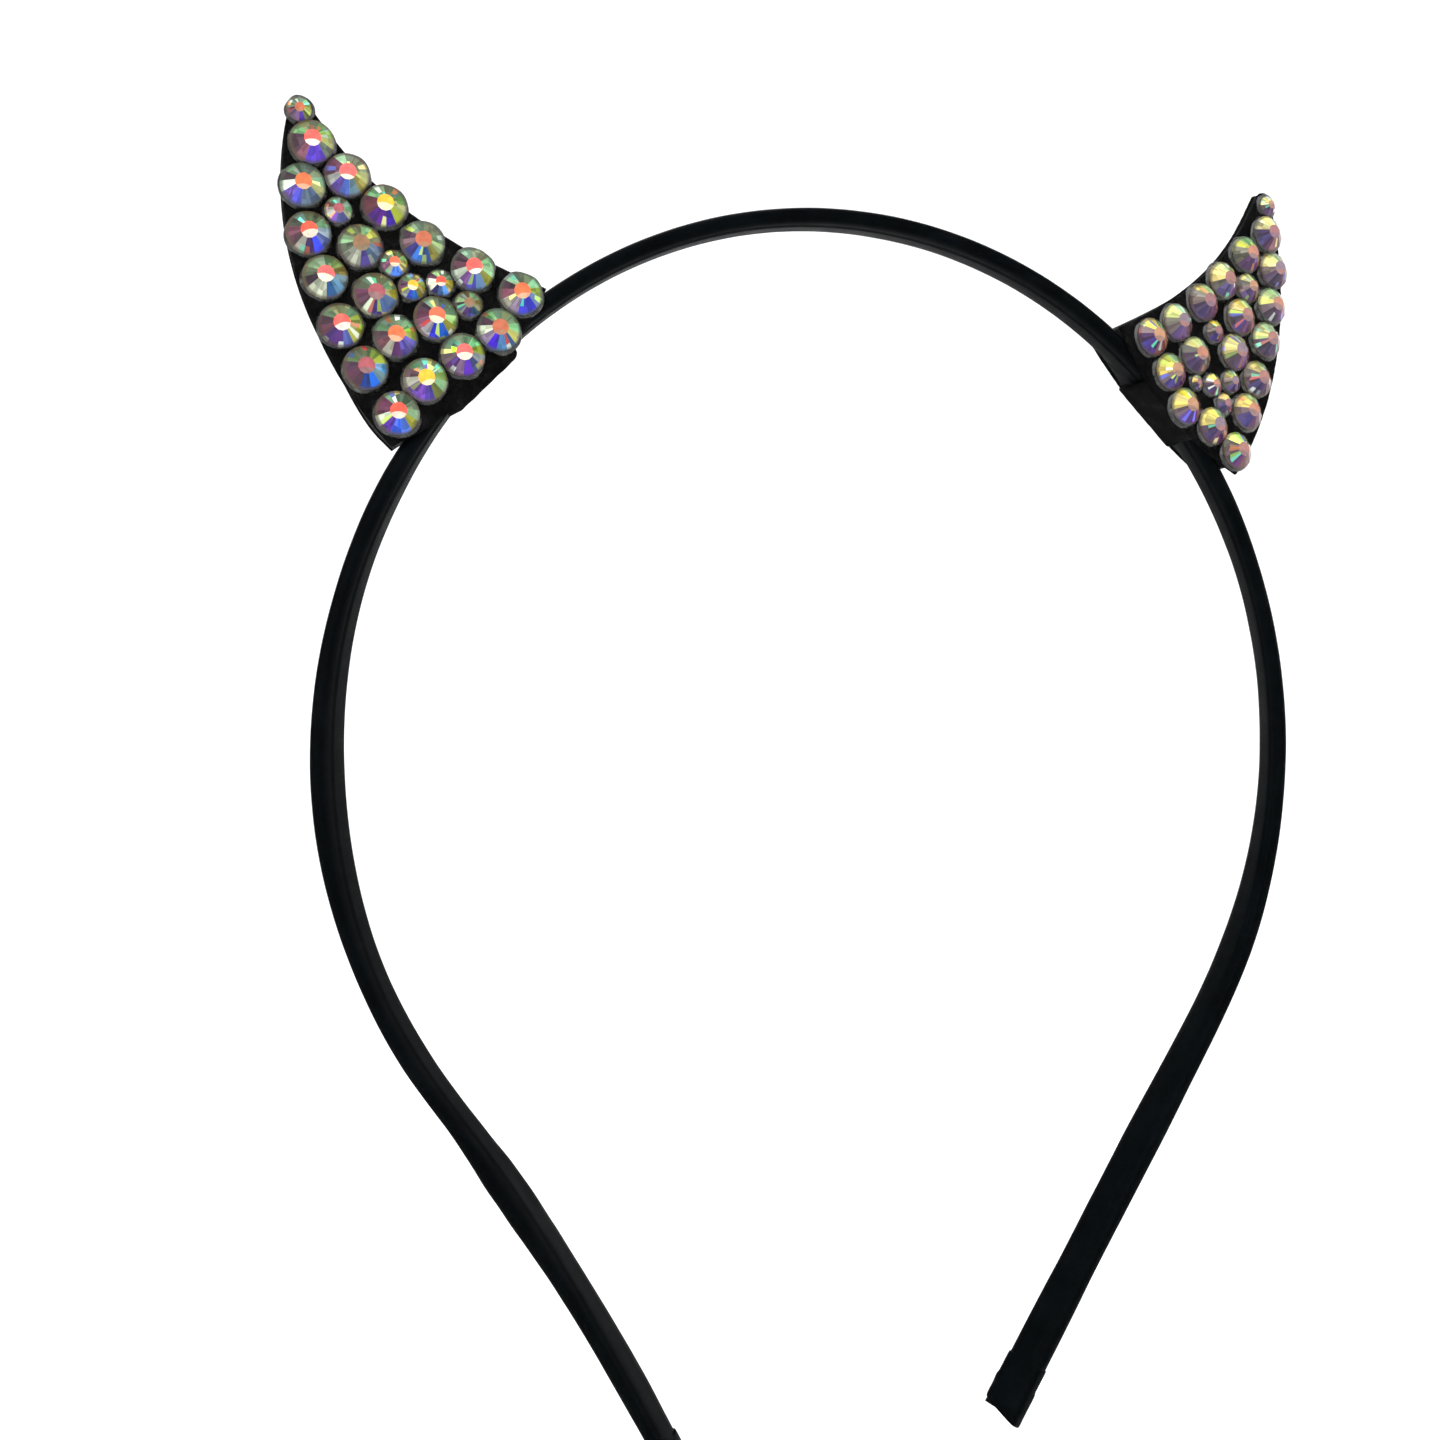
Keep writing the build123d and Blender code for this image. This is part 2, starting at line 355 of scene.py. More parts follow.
def felt_material():
    """Black pressed felt: tangled fibres, slight grey mottling, matt."""
    material, shader, node, bump, surface = new_material("black_felt")
    place = node("TexCoord").outputs["Object"]
    fibre = node("TexNoise", i0=place, Scale=5200.0, Detail=4.0, Roughness=0.7, Distortion=1.4).outputs[0]
    tangle = node("TexVoronoi", {"feature": "DISTANCE_TO_EDGE"}, i0=place, Scale=2600.0).outputs[0]
    patch = node("TexNoise", i0=place, Scale=420.0, Detail=4.0, Roughness=0.6).outputs[0]
    bump(math_node(node, "MULTIPLY_ADD", tangle, 0.8, fibre), strength=0.8, distance=0.00012)
    mottle = math_node(node, "MULTIPLY_ADD", fibre, 0.55, math_node(node, "MULTIPLY", patch, 0.5))
    tint = ramp(node, mottle, linear_stops(
        (0.40, 0.0010, 0.0011, 0.0012), (0.56, 0.0030, 0.0031, 0.0030), (0.72, 0.017, 0.017, 0.016)))
    surface(tint, math_node(node, "MULTIPLY_ADD", patch, 0.15, 0.75))
    shader.inputs["Specular IOR Level"].default_value = 0.012
    shader.inputs["Sheen Weight"].default_value = 0.003
    shader.inputs["Sheen Roughness"].default_value = 0.6
    return material


def foam_material():
    """Black craft foam: fine closed cells on its cut edge."""
    material, shader, node, bump, surface = new_material("black_foam")
    place = node("TexCoord").outputs["Object"]
    cells = node("TexVoronoi", i0=place, Scale=6500.0).outputs[0]
    patch = node("TexNoise", i0=place, Scale=500.0, Detail=3.0).outputs[0]
    bump(cells, strength=0.6, distance=0.00008)
    tint = ramp(node, patch, linear_stops((0.35, 0.0040, 0.0040, 0.0042), (0.7, 0.012, 0.012, 0.0125)))
    surface(tint, math_node(node, "MULTIPLY_ADD", patch, 0.2, 0.6))
    shader.inputs["Specular IOR Level"].default_value = 0.05
    return material


def glue_material():
    """Clear craft glue over black felt: dark and shiny, lighter in random patches."""
    material, shader, node, bump, surface = new_material("clear_glue")
    place = node("TexCoord").outputs["Object"]
    ripple = node("TexNoise", i0=place, Scale=900.0, Detail=3.0, Roughness=0.6).outputs[0]
    bump(ripple, strength=0.5, distance=0.0001)
    tint = ramp(node, ripple, linear_stops(
        (0.40, 0.0020, 0.0022, 0.0020), (0.56, 0.010, 0.011, 0.009), (0.70, 0.060, 0.062, 0.052)))
    surface(tint, math_node(node, "MULTIPLY_ADD", ripple, 0.3, 0.12))
    shader.inputs["Specular IOR Level"].default_value = 0.42
    return material


def steel_material():
    """Rolled spring strip: fine surface grain and a few dull marks."""
    material, shader, node, bump, surface = new_material("spring_steel")
    place = node("TexCoord").outputs["Object"]
    marks = node("TexNoise", i0=place, Scale=300.0, Detail=5.0, Roughness=0.65).outputs[0]
    fine = node("TexNoise", i0=place, Scale=5000.0, Detail=2.0).outputs[0]
    bump(fine, strength=0.3, distance=0.00003)
    tint = ramp(node, marks, linear_stops((0.3, 0.28, 0.28, 0.29), (0.7, 0.48, 0.48, 0.49)))
    surface(tint, math_node(node, "MULTIPLY_ADD", marks, 0.3, 0.2))
    shader.inputs["Metallic"].default_value = 1.0
    return material


# Colours of facets by the way they face round the ear, from -180 to 180 degrees
LEFT_RAINBOW = [
    (-180, (104, 62, 78)), (-158, (118, 74, 92)), (-146, (226, 246, 214)), (-128, (92, 44, 112)),
    (-108, (84, 70, 196)), (-84, (44, 84, 206)), (-62, (104, 116, 208)), (-42, (84, 124, 158)),
    (-22, (150, 148, 62)), (4, (176, 180, 66)), (26, (116, 176, 110)), (52, (104, 138, 110)),
    (84, (108, 104, 66)), (112, (112, 142, 122)), (140, (122, 166, 112)), (162, (72, 52, 64)),
]
RIGHT_RAINBOW = [
    (-180, (126, 108, 100)), (-150, (84, 62, 96)), (-122, (72, 52, 132)), (-96, (92, 48, 116)),
    (-70, (100, 52, 92)), (-46, (150, 92, 104)), (-20, (130, 76, 74)), (10, (150, 104, 80)),
    (40, (150, 150, 96)), (66, (128, 172, 128)), (90, (176, 214, 130)), (114, (252, 236, 84)),
    (146, (236, 216, 88)), (166, (122, 116, 104)),
]
# Colours of the painted flashes of light, and of the rims
FLASHES = [
    (120, 250, 200), (236, 250, 232), (196, 236, 84), (236, 112, 92), (250, 240, 150), (112, 110, 226),
]
RIMS = [(66, 56, 42), (58, 44, 42), (72, 62, 44), (54, 58, 50)]

# Upper and lower tone of the painted reflection on a crystal's table
CORAL_TABLE_REFLECTIONS = [
    ((248, 100, 72), (226, 200, 172)), ((172, 96, 70), (150, 108, 84)), ((240, 92, 84), (228, 196, 186)),
    ((206, 104, 66), (196, 150, 120)), ((250, 96, 92), (226, 204, 180)), ((150, 78, 84), (128, 96, 96)),
    ((246, 168, 56), (222, 200, 160)), ((236, 84, 66), (214, 186, 168)), ((132, 100, 74), (120, 104, 82)),
]
BROWN_TABLE_REFLECTIONS = [
    ((130, 78, 68), (104, 66, 66)), ((150, 104, 66), (116, 78, 62)), ((120, 66, 70), (96, 60, 74)),
    ((152, 92, 64), (110, 76, 74)), ((98, 78, 92), (120, 74, 70)),
]

# Each ear's coating: its colours round the facets, their strength, their brightness and its painted table
# reflections
COATINGS = {
    -1: (LEFT_RAINBOW, 1.02, 0.92, CORAL_TABLE_REFLECTIONS),
    1: (RIGHT_RAINBOW, 0.92, 0.86, BROWN_TABLE_REFLECTIONS),
}


def coated_facets(node, draw, facing, ear, rainbow):
    """Colour of each facet from the way it faces, with a random shift for each facet."""
    right, up = along_axis(node, facing, ear["right"]), along_axis(node, facing, ear["up"])
    facet = facet_random(node, facing, (0.05, 0.05, 0.05))
    shift = math_node(node, "MULTIPLY_ADD", facet, 0.14, 0.43 + draw.uniform(-0.07, 0.07))
    turn = math_node(node, "FRACT", math_node(node, "ADD", turn_of(node, right, up), shift))
    stops = [((degrees + 180) / 360, linear(*tone)) for degrees, tone in rainbow]
    return ramp(node, turn, stops)


def back_facets(node, draw, place, local, ear, diameter, spin, seed):
    """Random values of the back facets seen through the front, which place painted flashes of light and
    painted shade: half-facet wedges, broken into rings.
    """
    along_base, along_tip = along_axis(node, local, ear["along"]), along_axis(node, local, ear["tip"])
    turn = turn_of(node, along_base, along_tip)
    # One wedge is 15 degrees, and 100 keeps the wedge numbers positive
    wedge = math_node(node, "FLOOR", math_node(node, "MULTIPLY_ADD", turn, 2.0 * FACETS, 100 - spin / 15))
    reach = off_axis(node, along_base, along_tip)
    tilt = node("TexNoise", i0=place, Scale=700.0, Detail=0.0).outputs[0]
    rings = 2 * draw.uniform(1.7, 2.6) / (diameter * MM)
    ring = math_node(node, "FLOOR", math_node(node, "MULTIPLY_ADD", reach, rings, tilt))
    cell = node("CombineXYZ", i0=wedge, i1=ring, i2=float(seed)).outputs[0]
    return node("SeparateColor", i0=node("TexWhiteNoise", i0=cell).outputs["Color"]).outputs


def painted_table_reflection(node, draw, place, across, height, reflection_tones):
    """Painted reflection on a crystal's flat table: two tones parted along a bowed line, made patchy by a
    faint haze.
    """
    line = math_node(node, "MULTIPLY_ADD", across, draw.uniform(-0.35, 0.35), height)
    bow = math_node(node, "MULTIPLY", math_node(node, "MULTIPLY", across, across), 350.0)
    bowed_line = math_node(node, "ADD", line, bow)
    split = math_node(node, "GREATER_THAN", bowed_line, draw.uniform(-0.0003, 0.0001))
    upper, lower = reflection_tones
    table_reflection = mix_colour(node, split, linear(*lower), linear(*upper))
    haze = node("TexNoise", i0=place, Scale=1500.0, Detail=2.0).outputs[0]
    return scaled(node, table_reflection, math_node(node, "MULTIPLY_ADD", haze, 0.8, 0.5))


def crystal_material(name, centre, ear, diameter, spin, seed, coating, reflection_tones):
    """Coated crystal: a colour for each facet direction, painted flashes of light, a painted two-tone
    reflection on the table and a dull rim.
    """
    draw = random.Random(seed)
    material, shader, node, _, surface = new_material(name + "_glass")
    rainbow, strength, brightness, _ = coating
    facing = node("NewGeometry").outputs["True Normal"]
    place = node("TexCoord").outputs["Object"]
    local = node("VectorMath", {"operation": "SUBTRACT"}, i0=place, i1=tuple(centre * MM)).outputs[0]

    colour = coated_facets(node, draw, facing, ear, rainbow)
    # The back facets' wedges choose where painted flashes of light go, their colour, and a painted shade
    flash_here, flash_kind, depth = back_facets(node, draw, place, local, ear, diameter, spin, seed)
    flashes = [(index / len(FLASHES), linear(*tone)) for index, tone in enumerate(FLASHES)]
    flash = ramp(node, flash_kind, flashes, "CONSTANT")
    flash_here = math_node(node, "GREATER_THAN", flash_here, draw.uniform(0.86, 0.95))
    colour = mix_colour(node, math_node(node, "MULTIPLY", flash_here, 0.75), colour, flash)
    # Painted shade: each back-facet wedge and each facet gets its own brightness
    facet_light = facet_random(node, facing, (0.045, 0.055, 0.05))
    shade = math_node(node, "MULTIPLY", math_node(node, "MULTIPLY_ADD", depth, 0.65, 0.42),
                      math_node(node, "MULTIPLY_ADD", facet_light, 0.95, 0.42))
    colour = node("HueSaturation", Hue=0.5 + draw.uniform(-0.035, 0.035),
                  Saturation=strength * draw.uniform(0.85, 1.15),
                  Value=brightness * draw.uniform(0.85, 1.15), Color=scaled(node, colour, shade)).outputs[0]

    across, height = along_axis(node, local, ear["right"]), along_axis(node, local, ear["up"])
    # Table: a painted reflection in two tones, on the facets that face forward
    table_reflection = painted_table_reflection(node, draw, place, across, height, reflection_tones)
    faces_forward = math_node(node, "GREATER_THAN", along_axis(node, facing, ear["forward"]), 0.96)
    colour = mix_colour(node, faces_forward, colour, table_reflection)

    # Rim: light goes out through the girdle, so it stays brown and dull
    radius = off_axis(node, across, height)
    rim = ramp(node, math_node(node, "DIVIDE", radius, diameter / 2 * MM),
               linear_stops((0.84, 0, 0, 0), (0.93, 0.8, 0.8, 0.8)))
    colour = mix_colour(node, rim, colour, linear(*draw.choice(RIMS)))

    scratches = node("TexNoise", i0=place, Scale=2600.0, Detail=3.0).outputs[0]
    surface(colour, math_node(node, "MULTIPLY_ADD", scratches, 0.08, 0.02))
    shader.inputs["Specular IOR Level"].default_value = 0.22
    shader.inputs["Coat Weight"].default_value = 0.08
    shader.inputs["Coat Roughness"].default_value = 0.03
    return material


# ---------------------------------------------------------------- band
# Loose and tight places of the ribbon: distance from the crown, spread and extra width each side
RIBBON_SWELLS = ((-151.5, 6.0, 0.42), (-160.0, 8.0, 0.14), (-122.0, 9.0, -0.20), (-138.0, 7.0, -0.20),
                 (-100.0, 11.0, 0.10), (-68.0, 6.0, 0.20), (-188.0, 6.0, -0.20), (98.0, 6.0, 0.09),
                 (77.0, 6.0, -0.08), (126.0, 6.0, 0.10), (154.0, 6.0, 0.10), (172.0, 6.0, -0.08))
BULGE_PLACE = -151.0
BULGE_SPREAD = 9.0
RIBBON_GAP = 0.03
RIBBON_LAP = 2.4
RIBBON_STEP = 0.13
LAP_RAMP = (-0.35, 0.05)
BAND_ROWS = 900
BAND_COLUMNS = 92
SECTION_POINTS = 400

# Folded tip: distance past the end of the band and growth over it
FOLD_PROFILE = [
    (-7.0, 0.01), (-6.97, 0.09), (-6.7, 0.12), (-4.3, 0.11),  # cut edge
    (-3.9, 0.12), (-3.8, 0.20), (-3.5, 0.21), (-2.2, 0.19), (-1.0, 0.20),  # second lap
    (-0.35, 0.19), (0.0, 0.14), (0.16, 0.0), (0.24, -0.4),  # closed end
]
FOLD_COLUMNS = 72
TIP_SKEW = 0.7


def swell_at(places):
    """Extra width of the ribbon on each side, at distances from the crown."""
    return sum(extra * np.exp(-((places - place) / spread) ** 2) for place, spread, extra in RIBBON_SWELLS)


def make_band(material):
    """Satin ribbon wrapped round the strip as one open sheet, its edge lapped along the inner face."""
    places = np.linspace(-LEFT_LENGTH, RIGHT_LENGTH, BAND_ROWS)
    out, forward, run = section_points(BAND_WIDTH, BAND_THICKNESS, SECTION_POINTS)
    circle = run[-1] + run[1]
    centre, outward, ahead, _ = band_frames(places)

    # The wrap starts past the middle of the inner face, goes once round and laps over its own start
    wrap = np.linspace(-RIBBON_LAP / 2, circle + RIBBON_LAP / 2, BAND_COLUMNS)
    drift = 0.30 * np.sin(places / 23.0) + 0.12 * np.sin(places / 8.3 + 1)
    around = (wrap[None] + drift[:, None] + circle / 2) % circle
    out_grid = np.interp(around, np.append(run, circle), np.append(out, out[0]))
    forward_grid = np.interp(around, np.append(run, circle), np.append(forward, forward[0]))
    lap_edge = circle - RIBBON_LAP / 2
    lap = smooth(lap_edge + LAP_RAMP[0], lap_edge + LAP_RAMP[1], wrap)[None] * RIBBON_STEP

    # Small pulls across the ribbon and creases along it, stronger where it bulges
    place, across = (grid.ravel() for grid in np.meshgrid(places, wrap, indexing="ij"))
    pull = noise(np.stack([place * 0.30 + across * 0.12, across], 1), scale=3.6, seed=5)
    crease = noise(np.stack([place, across * 0.22], 1), scale=7.0, seed=6)
    loose = 0.25 + 1.6 * np.exp(-((place - BULGE_PLACE) / BULGE_SPREAD) ** 2)
    wrinkle = ((0.022 * pull + 0.035 * crease) * loose).reshape(BAND_ROWS, BAND_COLUMNS)

    swell = swell_at(places)[:, None]
    widen = 1 + swell / (BAND_WIDTH / 2)
    thicken = 1 + 0.4 * swell / (BAND_THICKNESS / 2)
    slope = np.stack([out_grid / BAND_THICKNESS ** 2, forward_grid / BAND_WIDTH ** 2], -1)
    slope /= np.linalg.norm(slope, axis=-1, keepdims=True)
    lift = RIBBON_GAP + lap + wrinkle
    points = (centre[:, None]
              + outward[:, None] * (out_grid * thicken + slope[..., 0] * lift)[..., None]
              + ahead[:, None] * (forward_grid * widen + slope[..., 1] * lift)[..., None])
    faces = grid_faces(BAND_ROWS, BAND_COLUMNS, closed=False, flip=True)
    band = new_object("satin_ribbon", points.reshape(-1, 3), faces, material)
    store_ribbon_place(band, place, across)
    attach(band, "root")
    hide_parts("satin_cover")


def make_tip_fold(name, side, material):
    """Ribbon folded over a tip: a squared sleeve with two lapped layers and a closed, creased end."""
    rows, columns = len(FOLD_PROFILE), FOLD_COLUMNS
    length = RIGHT_LENGTH if side > 0 else LEFT_LENGTH
    places = np.array([side * (length + past_end) for past_end, _ in FOLD_PROFILE])
    grow = np.array([growth for _, growth in FOLD_PROFILE])[:, None]
    out, forward, run = section_points(BAND_WIDTH, BAND_THICKNESS, columns, power=4.0)
    centre, outward, ahead, along = band_frames(places)
    place, around = np.repeat(places, columns), np.tile(run, rows)
    wave = noise(np.stack([around, place], 1), scale=3.4, seed=21 + side).reshape(rows, columns) * 0.05
    out_grid = out[None] * (1 + (grow + wave) / (BAND_THICKNESS / 2))
    forward_grid = forward[None] * (1 + (grow + swell_at(places)[:, None] + wave) / (BAND_WIDTH / 2))
    # The ribbon is folded a little askew, so its front edge reaches further than its back edge
    near_end = smooth(-4.5, -0.3, abs(places) - length)[:, None]
    askew = side * TIP_SKEW * forward_grid / (BAND_WIDTH / 2) * near_end
    points = (centre[:, None] + outward[:, None] * out_grid[..., None]
              + ahead[:, None] * forward_grid[..., None] + along[:, None] * askew[..., None]).reshape(-1, 3)
    faces = grid_faces(rows, columns, flip=side < 0)
    first_cap = list(range(columns))
    last_cap = [(rows - 1) * columns + column for column in range(columns)]
    faces.append(first_cap[::-1] if side > 0 else first_cap)
    faces.append(last_cap if side > 0 else last_cap[::-1])
    fold = new_object(name + "_ribbon_end", points, faces, material)
    store_ribbon_place(fold, place, around)
    soften = fold.modifiers.new("soften", "SUBSURF")
    soften.levels = soften.render_levels = 1
    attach(fold, "root")
    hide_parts(name + "_tip_fold")


# ---------------------------------------------------------------- ears
def ear_frame(side):
    """Origin and axes of an ear's front face, and of the seat under it, in millimetres."""
    heading, across, height = (float(value) for value in arm_values(np.float64(side * EAR_STATION)))
    heading, across = abs(heading), abs(across)
    height += BAND_THICKNESS / 2
    rise = BAND_THICKNESS / 2 - EAR_RISES[side]
    base = np.array([across + math.sin(heading) * rise, -EAR_FRONT, height + math.cos(heading) * rise])
    seat = np.array([across, 0, height])
    heading -= math.radians(EAR_TURNS[side])
    lean = math.radians(EAR_LEAN)
    along = np.array([math.cos(heading), 0, -math.sin(heading)])
    outward = np.array([math.sin(heading), 0, math.cos(heading)])
    forward = math.sin(lean) * outward + np.array([0, -math.cos(lean), 0])
    tip_way = np.cross(forward, along)
    # Everything so far is for the right hand side, so the left hand ear is mirrored
    base, seat, along, outward, forward, tip_way = (
        vector * np.array([side, 1, 1]) for vector in (base, seat, along, outward, forward, tip_way))
    # Level and upright directions on the ear's face
    right = np.array([1.0, 0, 0]) - forward * forward[0]
    up = np.array([0, 0, 1.0]) - forward * forward[2]
    return {
        "side": side, "base": base, "seat": seat, "along": along, "outward": outward, "forward": forward,
        "tip": tip_way, "right": right / np.linalg.norm(right), "up": up / np.linalg.norm(up),
    }


def ear_point(ear, across, up, depth):
    """Points from an ear's own across, up and depth-behind-front values."""
    across, up, depth = np.broadcast_arrays(across, up, depth)
    return (ear["base"] + across[..., None] * ear["along"] + up[..., None] * ear["tip"]
            - depth[..., None] * ear["forward"])


def arc_points(start, middle, end, parts):
    """Points on the circle arc through three points."""
    (ax, ay), (bx, by), (cx, cy) = start, middle, end
    a_square, b_square, c_square = ax**2 + ay**2, bx**2 + by**2, cx**2 + cy**2
    divisor = 2 * (ax * (by - cy) + bx * (cy - ay) + cx * (ay - by))
    centre_x = (a_square * (by - cy) + b_square * (cy - ay) + c_square * (ay - by)) / divisor
    centre_y = (a_square * (cx - bx) + b_square * (ax - cx) + c_square * (bx - ax)) / divisor
    first, mid, last = (math.atan2(y - centre_y, x - centre_x) for x, y in (start, middle, end))
    if not min(first, last) <= mid <= max(first, last):
        last += 2 * math.pi if last < first else -2 * math.pi
    angle = first + (last - first) * parts
    radius = math.hypot(ax - centre_x, ay - centre_y)
    return np.stack([centre_x + radius * np.cos(angle), centre_y + radius * np.sin(angle)], 1)


def ear_edges(rows, corner):
    """Inner and outer edge points of an ear from its foot to its tip."""
    part = np.linspace(0, 1, rows)
    outer = arc_points((corner, CORNER_HEIGHT), OUTER_BOW, OUTER_TOP, part)
    knots = np.array(INNER_KNOTS)
    run = np.concatenate([[0], np.cumsum(np.hypot(*np.diff(knots, axis=0).T))])
    inner = np.stack([spline(run / run[-1], knots[:, axis], part) for axis in (0, 1)], 1)
    return inner, outer


def spline(places, values, at):
    """Natural cubic spline through values."""
    count = len(places)
    gaps = np.diff(places)
    rises = np.diff(values) / gaps
    matrix, target = np.eye(count), np.zeros(count)
    for knot in range(1, count - 1):
        matrix[knot, knot - 1:knot + 2] = gaps[knot - 1], 2 * (gaps[knot - 1] + gaps[knot]), gaps[knot]
        target[knot] = 6 * (rises[knot] - rises[knot - 1])
    bend = np.linalg.solve(matrix, target)
    index = np.clip(np.searchsorted(places, at) - 1, 0, count - 2)
    gap, low, high = gaps[index], at - places[index], places[index + 1] - at
    return ((bend[index] * high**3 + bend[index + 1] * low**3) / (6 * gap)
            + (values[index] / gap - bend[index] * gap / 6) * high
            + (values[index + 1] / gap - bend[index + 1] * gap / 6) * low)


def flat_depth(depth):
    """Depth of a flat face, the same all the way up."""
    return lambda up: np.full_like(up, depth)


def stepped_depth(above, at_foot):
    """Depth of a face that steps back at the foot to pass behind the band."""
    return lambda up: above + (at_foot - above) * (1 - smooth(FOOT_TOP, SLOPE_TOP, up))


SLAB_ROWS = 150
SLAB_COLUMNS = 84
CUT_ROUNDING = 0.13
FACE_DEPTH = 0.02
FOAM_INSET = 0.12
BACK_INSET = 0.03


def slab_outline(corner, lowest, inset):
    """Grid of points over an ear's face: across values, up values and distances from the edge."""
    inner, outer = ear_edges(SLAB_ROWS, corner)
    part, height = np.linspace(0, 1, SLAB_COLUMNS), np.linspace(0, 1, SLAB_ROWS)
    grid = inner[:, None] * (1 - part)[None, :, None] + outer[:, None] * part[None, :, None]
    # The foot bows down and the tip is rounded, so the rows bow with them
    bow = 1 - (2 * part - 1) ** 2
    fade_foot = (1 - smooth(0, 0.45, height))[:, None]
    fade_tip = smooth(0.93, 1.0, height)[:, None]
    across, up = grid[..., 0], grid[..., 1] - FOOT_BOW * bow * fade_foot + TIP_BOW * bow * fade_tip
    up = np.where(up < lowest, (up + lowest) / 2, up)
    # Pull the outline in by the inset, on every side
    middle_across, middle_up = ((inner + outer)[:, None] / 2).transpose(2, 0, 1)
    width = np.linalg.norm(outer - inner, axis=1)[:, None]
    shrink = 1 - 2 * inset / np.maximum(width, 2 * inset + 0.4)
    across = middle_across + (across - middle_across) * shrink
    up = up + (middle_up - up) * (1 - shrink) * 0.5
    from_side = np.minimum(part, 1 - part)[None] * width * shrink
    from_end = np.minimum(height, 1 - height)[:, None] * EAR_HEIGHT
    return across, up, np.minimum(from_side, from_end)


def ear_slab(ear, corner, front, back, lowest, inset, seed, rough=0.05):
    """Points and faces of one ear layer: two gridded faces joined by softly rounded, fibrous edges."""
    across, up, edge = slab_outline(corner, lowest, inset)
    roll = CUT_ROUNDING * quarter_round(edge, CUT_ROUNDING)
    flat = np.stack([across.ravel(), up.ravel()], 1)
    fibres, waves = noise(flat, scale=0.9, seed=seed), noise(flat, scale=4.5, seed=seed + 1)
    fuzz = (rough * fibres + 0.04 * waves).reshape(across.shape) * 0.6
    face_front = ear_point(ear, across, up, front(up) + roll - fuzz)
    face_back = ear_point(ear, across, up, back(up) - roll + fuzz)
    points = np.concatenate([face_front.reshape(-1, 3), face_back.reshape(-1, 3)])
    rows, columns = SLAB_ROWS, SLAB_COLUMNS
    count = rows * columns
    mirrored = ear["side"] < 0
    faces = grid_faces(rows, columns, closed=False, flip=mirrored)
    faces += grid_faces(rows, columns, closed=False, start=count, flip=not mirrored)
    ring = (list(range(columns))
            + [row * columns + columns - 1 for row in range(1, rows)]
            + [(rows - 1) * columns + column for column in range(columns - 2, -1, -1)]
            + [row * columns for row in range(rows - 2, 0, -1)])
    for first, second in zip(ring, ring[1:] + ring[:1]):
        quad = [first, first + count, second + count, second]
        faces.append(quad[::-1] if mirrored else quad)
    return points, faces


def rounded_line(corners, radius, count=7):
    """Open path through corners, each rounded by a curve that starts and ends a radius from it."""
    corners = np.array(corners, float)
    path = [corners[0]]
    for before, corner, after in zip(corners, corners[1:], corners[2:]):
        start = corner + (before - corner) / np.linalg.norm(before - corner) * radius
        end = corner + (after - corner) / np.linalg.norm(after - corner) * radius
        for part in np.linspace(0, 1, count):
            path.append(start * (1 - part) ** 2 + 2 * corner * part * (1 - part) + end * part ** 2)
    path.append(corners[-1])
    return np.array(path)


TONGUE_TOP = 1.4
TONGUE_ROWS = 46
FOLD_ROUNDING = 0.28
END_PINCH = 0.16
END_ROUNDING = 0.2
CORNER_LIFT = 1.1
CORNER_ROUNDING = 1.3


def tongue_slab(ear):
    """Points and faces of the felt tongue: down past the band, then folded back under it."""
    # Side view of the fold: out of the head and forward, drawn once round
    top = TONGUE_TOP - BAND_THICKNESS / 2
    bottom = BAND_THICKNESS / 2 + TONGUE_GAP + FELT
    front = TONGUE_DEPTH / 2 + TONGUE_FORWARD
    rear = TONGUE_FORWARD - TONGUE_DEPTH / 2
    outline = rounded_line([(top, front), (-bottom, front), (-bottom, rear), (FELT - bottom, rear),
                            (FELT - bottom, front - FELT), (top, front - FELT)], FOLD_ROUNDING)
    inwards = outline.mean(0) - outline
    inwards /= np.linalg.norm(inwards, axis=1)[:, None]
    columns, rows = len(outline), TONGUE_ROWS
    part = np.linspace(0, 1, rows)
    from_end = np.minimum(part, 1 - part) * TONGUE_WIDTH
    pinches = END_PINCH * quarter_round(from_end, END_ROUNDING)
    # The two corners of the fold are rounded, so the front of the fold rises towards both ends
    lifts = CORNER_LIFT * quarter_round(from_end, CORNER_ROUNDING)
    ahead_of_band = smooth(BAND_WIDTH / 2 - 0.3, front, outline[:, 1]) * smooth(top, -bottom, outline[:, 0])
    points = []
    for across, pinch, lift in zip(TONGUE_SHIFT + TONGUE_WIDTH * (part - 0.5), pinches, lifts):
        section = outline + inwards * pinch
        section[:, 0] += lift * ahead_of_band
        points.append(ear["seat"] + across * ear["along"] + section[:, :1] * ear["outward"]
                      + section[:, 1:] * np.array([0, -1.0, 0]))
    points = np.concatenate(points)
    points += 0.03 * noise(points, scale=1.3, seed=40)[:, None] * ear["outward"]
    faces = grid_faces(rows, columns, flip=ear["side"] > 0)
    first_cap = list(range(columns))
    last_cap = [(rows - 1) * columns + column for column in range(columns)]
    faces.append(first_cap if ear["side"] > 0 else first_cap[::-1])
    faces.append(last_cap[::-1] if ear["side"] > 0 else last_cap)
    return points, faces


def joined(first, second):
    """Two sets of points and faces as one."""
    points, faces = first
    more_points, more_faces = second
    offset = len(points)
    moved_faces = [[point + offset for point in face] for face in more_faces]
    return np.concatenate([points, more_points]), faces + moved_faces


def declare_felt(corner, tongue_length):
    """Works out the area of the flat blank that a felt panel was cut from: the ear's outline, and its tongue
    if it has one. The area is not kept.
    """
    inner, outer = ear_edges(200, corner)
    outline = np.concatenate([inner, outer[::-1]])
    following = np.roll(outline, -1, axis=0)
    area = abs((outline[:, 0] * following[:, 1] - outline[:, 1] * following[:, 0]).sum()) / 2
    area += TONGUE_WIDTH * tongue_length


